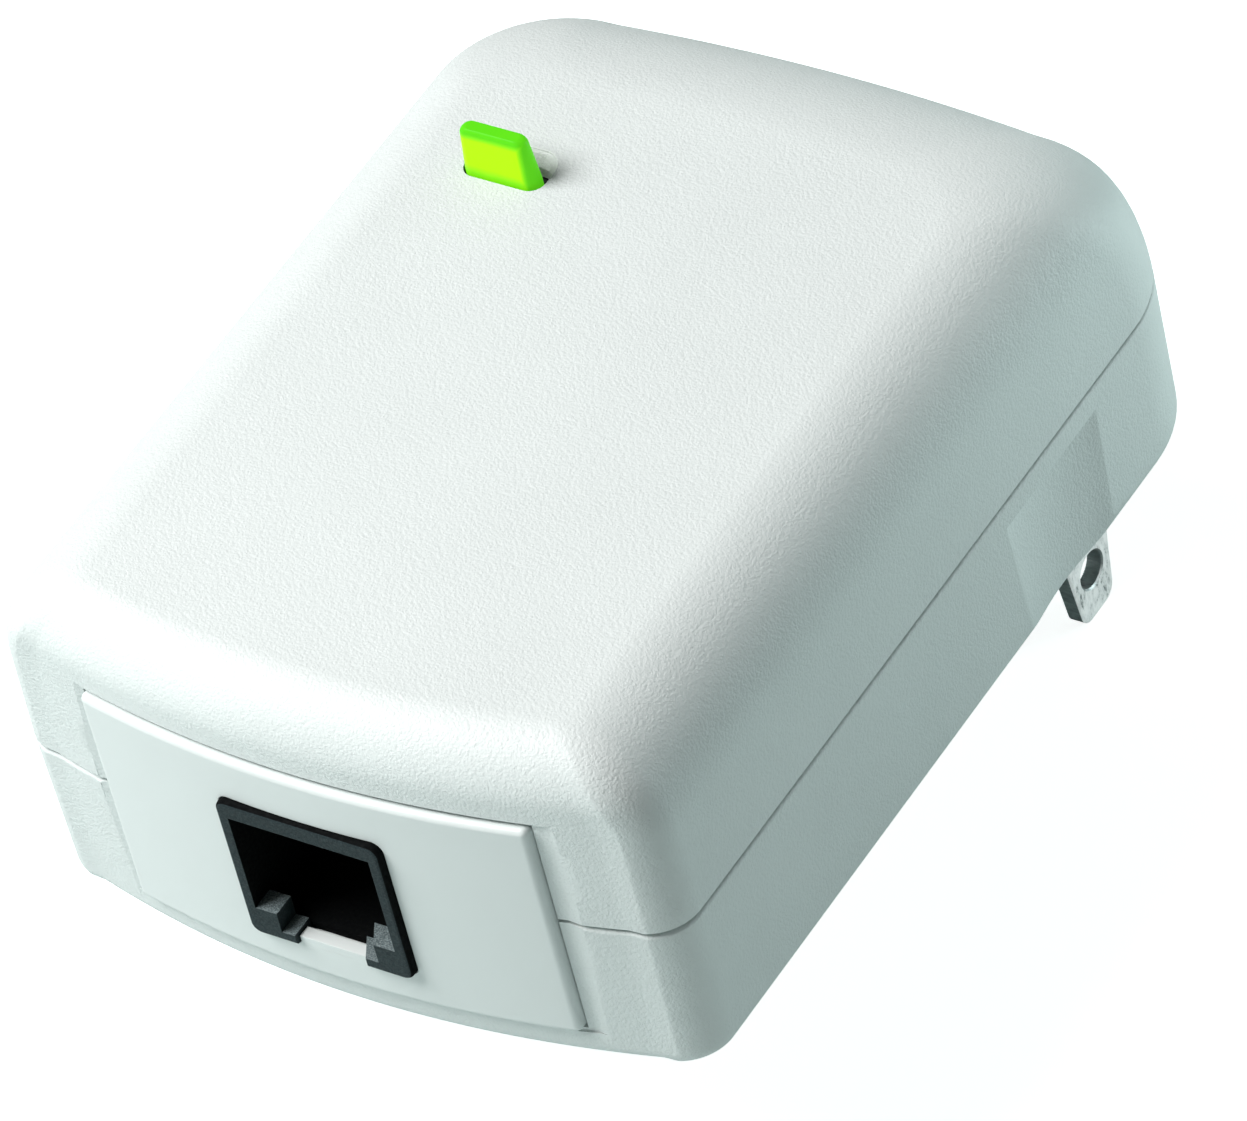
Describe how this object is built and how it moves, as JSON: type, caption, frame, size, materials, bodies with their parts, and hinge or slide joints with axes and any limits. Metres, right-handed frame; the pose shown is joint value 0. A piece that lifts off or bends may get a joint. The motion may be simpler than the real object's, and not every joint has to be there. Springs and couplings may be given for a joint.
{
  "type": "powerline adapter",
  "caption": "Wall-plug powerline adapter: rounded two-shell case, bowed end plate with a network jack, lit pairing button on top, flat mains blades and screws at the back.",
  "frame": {"origin": "on the flat back face (the wall plane), midway between the two mains blades", "axes": "+Z out of the wall through the top face; -Y towards the end with the network jack; +X to the right seen from the top face with the jack end nearest"},
  "size_m": [0.0558, 0.0799, 0.0504],
  "materials": {
    "shell": "fine moulded texture, semi-matt",
    "plate": "smooth satin",
    "jack": "semi-matt, lightly speckled",
    "contacts": "gold flashed spring wire",
    "light_key": "translucent, lit from below",
    "switch_case": "matt",
    "plunger": "matt",
    "led": "clear tinted epoxy",
    "blades": "nickel plated, lightly scuffed",
    "carrier": "matt",
    "leads": "insulated wire",
    "board": "solder mask",
    "ic_package": "matt epoxy",
    "ferrite": "dull sintered",
    "winding": "enamelled copper",
    "tape": "polyester tape",
    "film_capacitor": "moulded box",
    "can_sleeve": "shrunk sleeve",
    "disc": "dipped epoxy",
    "heat_sink": "anodised",
    "crystal_can": "drawn can",
    "fuse": "plain",
    "screws": "zinc plated"
  },
  "bodies": {
    "root": {"front_cover": "shell", "rear_cover": "shell", "jack_plate": "plate", "rj45_housing": "jack", "rj45_contact_1": "contacts", "rj45_contact_2": "contacts", "rj45_contact_3": "contacts", "rj45_contact_4": "contacts", "rj45_contact_5": "contacts", "rj45_contact_6": "contacts", "rj45_contact_7": "contacts", "rj45_contact_8": "contacts", "switch_body": "switch_case", "status_led": "led", "blade_left": "blades", "blade_right": "blades", "blade_carrier": "carrier", "blade_lead_left": "leads", "blade_lead_right": "leads", "main_board": "board", "lan_magnetics": "ic_package", "phy_chip": "ic_package", "memory_chip": "ic_package", "powerline_chip": "ic_package", "bridge_rectifier": "ic_package", "optocoupler": "ic_package", "transformer_bobbin": "ic_package", "buck_inductor": "ferrite", "transformer_core": "ferrite", "choke_core": "ferrite", "choke_winding": "winding", "coupling_transformer": "tape", "transformer_winding": "tape", "x_capacitor": "film_capacitor", "coupling_capacitor": "film_capacitor", "bulk_capacitor_1": "can_sleeve", "bulk_capacitor_2": "can_sleeve", "output_capacitor": "can_sleeve", "varistor": "disc", "y_capacitor": "disc", "heat_spreader": "heat_sink", "crystal": "crystal_can", "fuse": "fuse", "case_screw_1": "screws", "case_screw_2": "screws", "case_screw_3": "screws", "case_screw_4": "screws"},
    "button": {"pairing_button": "light_key"},
    "plunger": {"switch_plunger": "plunger"}
  },
  "joints": [
    {"name": "button_press", "type": "slide", "parent": "root", "child": "button", "axis": [0, 0, -1], "range_m": [0, 0.0005], "stiffness_N_per_m": 400},
    {"name": "plunger_travel", "type": "slide", "parent": "root", "child": "plunger", "axis": [0, 0, -1], "range_m": [0, 0.0005]}
  ],
  "couplings": [
    {"joint": "plunger_travel", "follows": "button_press", "ratio": 1}
  ]
}
